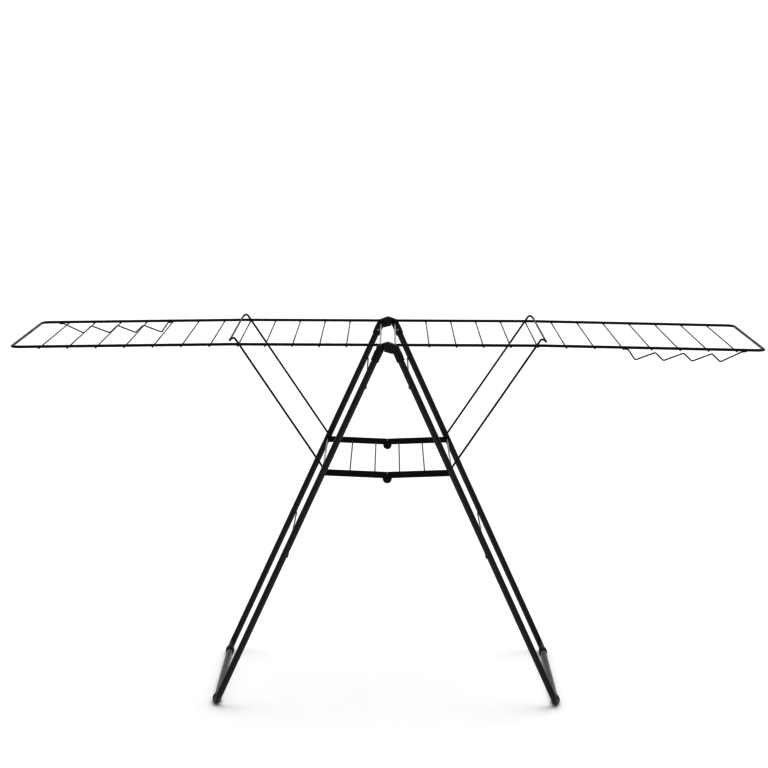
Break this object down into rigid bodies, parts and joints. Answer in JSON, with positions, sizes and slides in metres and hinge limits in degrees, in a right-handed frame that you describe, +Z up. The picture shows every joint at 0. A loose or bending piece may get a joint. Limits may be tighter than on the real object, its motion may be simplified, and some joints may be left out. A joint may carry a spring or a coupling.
{
  "type": "folding clothes airer",
  "caption": "Free-standing folding airer: an A-frame of tube legs with a folding middle shelf and a propped wire wing on each side.",
  "frame": {"origin": "on the floor, midway between the four feet, under the hub", "axes": "+X along the wings to the right, +Y to the back, +Z up"},
  "size_m": [1.897, 0.601, 0.9465],
  "materials": {
    "tube_coat": "satin black powder coat on round steel tube",
    "wire_coat": "satin black powder coat on steel wire",
    "bare_steel": "plain drawn steel, zinc plated",
    "black_plastic": "moulded black plastic, fine grain"
  },
  "bodies": {
    "leg_left": {"leg_frame_left": "tube_coat", "leg_wires_left": "wire_coat", "feet_left": "black_plastic", "cap_rivets_left": "bare_steel", "wing_rod_left": "bare_steel", "hub_cap_left_front": "black_plastic", "hub_cap_left_back": "black_plastic", "hub_pins": "black_plastic", "shelf_axle_left": "bare_steel"},
    "leg_right": {"leg_frame_right": "tube_coat", "leg_wires_right": "wire_coat", "feet_right": "black_plastic", "cap_rivets_right": "bare_steel", "wing_rod_right": "bare_steel", "hub_cap_right_front": "black_plastic", "hub_cap_right_back": "black_plastic", "shelf_stubs_right": "bare_steel"},
    "wing_left": {"wing_frame_left": "wire_coat", "wing_wires_left": "wire_coat", "hanger_wire_left": "wire_coat"},
    "wing_right": {"wing_frame_right": "wire_coat", "wing_wires_right": "wire_coat", "hanger_wire_right": "wire_coat"},
    "strut_left": {"strut_left": "wire_coat"},
    "strut_right": {"strut_right": "wire_coat"},
    "shelf_left": {"shelf_bar_left_front": "black_plastic", "shelf_bar_left_back": "black_plastic", "shelf_wires_left": "wire_coat", "shelf_pins": "black_plastic"},
    "shelf_right": {"shelf_bar_right_front": "black_plastic", "shelf_bar_right_back": "black_plastic", "shelf_wires_right": "wire_coat", "shelf_axle_right": "bare_steel"}
  },
  "joints": [
    {"name": "leg_fold", "type": "hinge", "parent": "leg_left", "child": "leg_right", "pos_m": [0, 0, 0.927], "axis": [0, 1, 0], "range_deg": [0, 49.06]},
    {"name": "shelf_left_fold", "type": "hinge", "parent": "leg_left", "child": "shelf_left", "pos_m": [-0.16383, 0, 0.60341], "axis": [0, -1, 0], "range_deg": [0, 66.29]},
    {"name": "shelf_middle_fold", "type": "hinge", "parent": "shelf_left", "child": "shelf_right", "pos_m": [0, 0, 0.5864], "axis": [0, 1, 0], "range_deg": [0, 181.63]},
    {"name": "wing_left_fold", "type": "hinge", "parent": "leg_left", "child": "wing_left", "pos_m": [-0.019, 0, 0.9208], "axis": [0, -1, 0], "range_deg": [0, 62.7]},
    {"name": "wing_right_fold", "type": "hinge", "parent": "leg_right", "child": "wing_right", "pos_m": [0.019, 0, 0.9208], "axis": [0, 1, 0], "range_deg": [0, 62.7]},
    {"name": "strut_left_fold", "type": "hinge", "parent": "wing_left", "child": "strut_left", "pos_m": [-0.3763, 0, 0.92455], "axis": [0, 1, 0], "range_deg": [0, 118.01]},
    {"name": "strut_right_fold", "type": "hinge", "parent": "wing_right", "child": "strut_right", "pos_m": [0.3763, 0, 0.92455], "axis": [0, -1, 0], "range_deg": [0, 118.01]}
  ],
  "couplings": [
    {"joint": "shelf_left_fold", "follows": "leg_fold", "ratio": 1.351},
    {"joint": "shelf_middle_fold", "follows": "leg_fold", "ratio": 3.7019},
    {"joint": "strut_left_fold", "follows": "wing_left_fold", "ratio": 1.882},
    {"joint": "strut_right_fold", "follows": "wing_right_fold", "ratio": 1.882}
  ]
}
